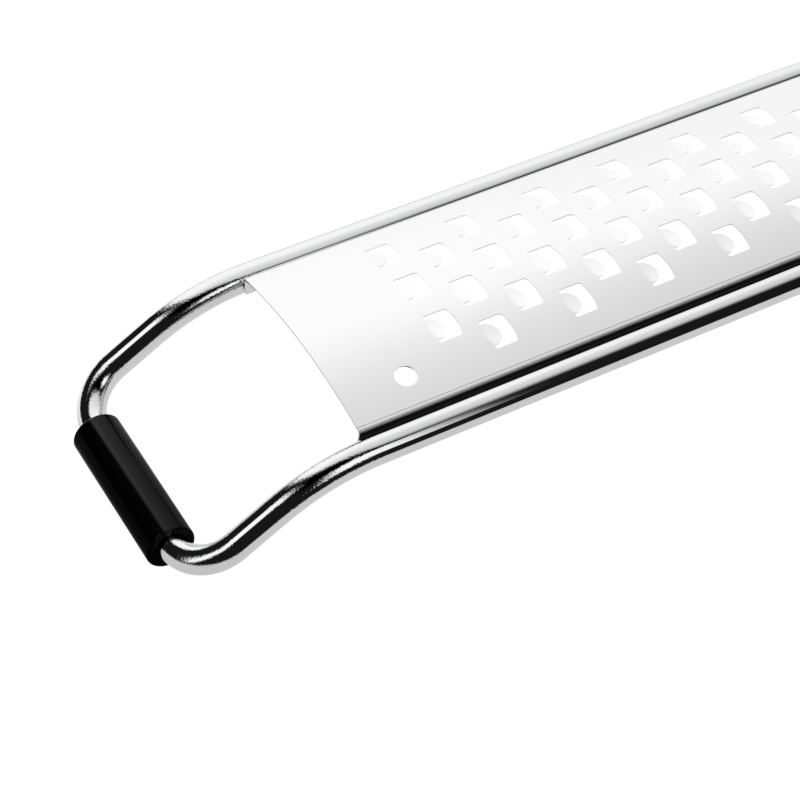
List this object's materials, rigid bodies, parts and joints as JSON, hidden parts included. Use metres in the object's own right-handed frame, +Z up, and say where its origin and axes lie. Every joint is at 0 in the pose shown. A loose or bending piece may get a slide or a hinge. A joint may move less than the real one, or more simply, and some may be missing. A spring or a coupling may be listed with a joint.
{
  "type": "hand grater",
  "caption": "Flat hand grater: arched grating plate between the rails of a bent round wire frame, a black foot sleeve on the dropped nose loop and a soft black handle.",
  "frame": {"origin": "middle of the grater's footprint, on the surface that it lies on", "axes": "+X from the nose to the handle, +Y across, away from the side that carries the round hole, +Z up"},
  "size_m": [0.3438, 0.063, 0.0285],
  "materials": {
    "polished_wire": "mirror polished stainless wire",
    "satin_sheet": "satin stainless sheet",
    "foot_rubber": "satin black",
    "polished_collar": "polished stainless",
    "core_plastic": "moulded black",
    "pin_steel": "plain spring steel",
    "grip_rubber": "soft matt black",
    "cap_plastic": "satin black",
    "eyelet_steel": "polished stainless"
  },
  "bodies": {
    "root": {"frame_wire": "polished_wire", "grating_plate": "satin_sheet", "nose_sleeve": "foot_rubber", "handle_collar": "polished_collar", "handle_core": "core_plastic", "tail_pin_left": "pin_steel", "tail_pin_right": "pin_steel", "handle_grip": "grip_rubber", "handle_end_cap": "cap_plastic", "hanging_eyelet": "eyelet_steel"}
  },
  "joints": []
}
